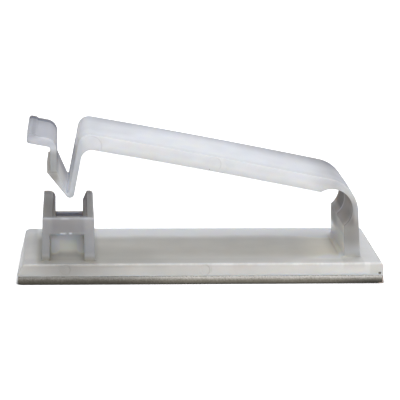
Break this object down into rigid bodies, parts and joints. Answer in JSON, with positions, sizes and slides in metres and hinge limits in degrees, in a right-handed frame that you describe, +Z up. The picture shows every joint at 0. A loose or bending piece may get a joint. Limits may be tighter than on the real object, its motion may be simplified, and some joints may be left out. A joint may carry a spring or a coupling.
{
  "type": "adhesive cable clip",
  "caption": "Stick-on cable clip moulded in one piece from natural nylon: flat foot on foam tape, hinged strap tilted open, snap-in wedge latch and catch.",
  "frame": {"origin": "centre of the underside of the foot, on the release liner's bottom face", "axes": "+X along the foot from the latch end to the hinge end, +Y across the clip to the back, +Z up"},
  "size_m": [0.0518, 0.022, 0.021],
  "materials": {
    "nylon": "natural, translucent, smooth satin",
    "foam": "closed-cell foam, matt",
    "liner": "siliconised release paper, matt"
  },
  "bodies": {
    "root": {"clip_body": "nylon", "foam_pad": "foam", "release_liner": "liner"}
  },
  "joints": []
}
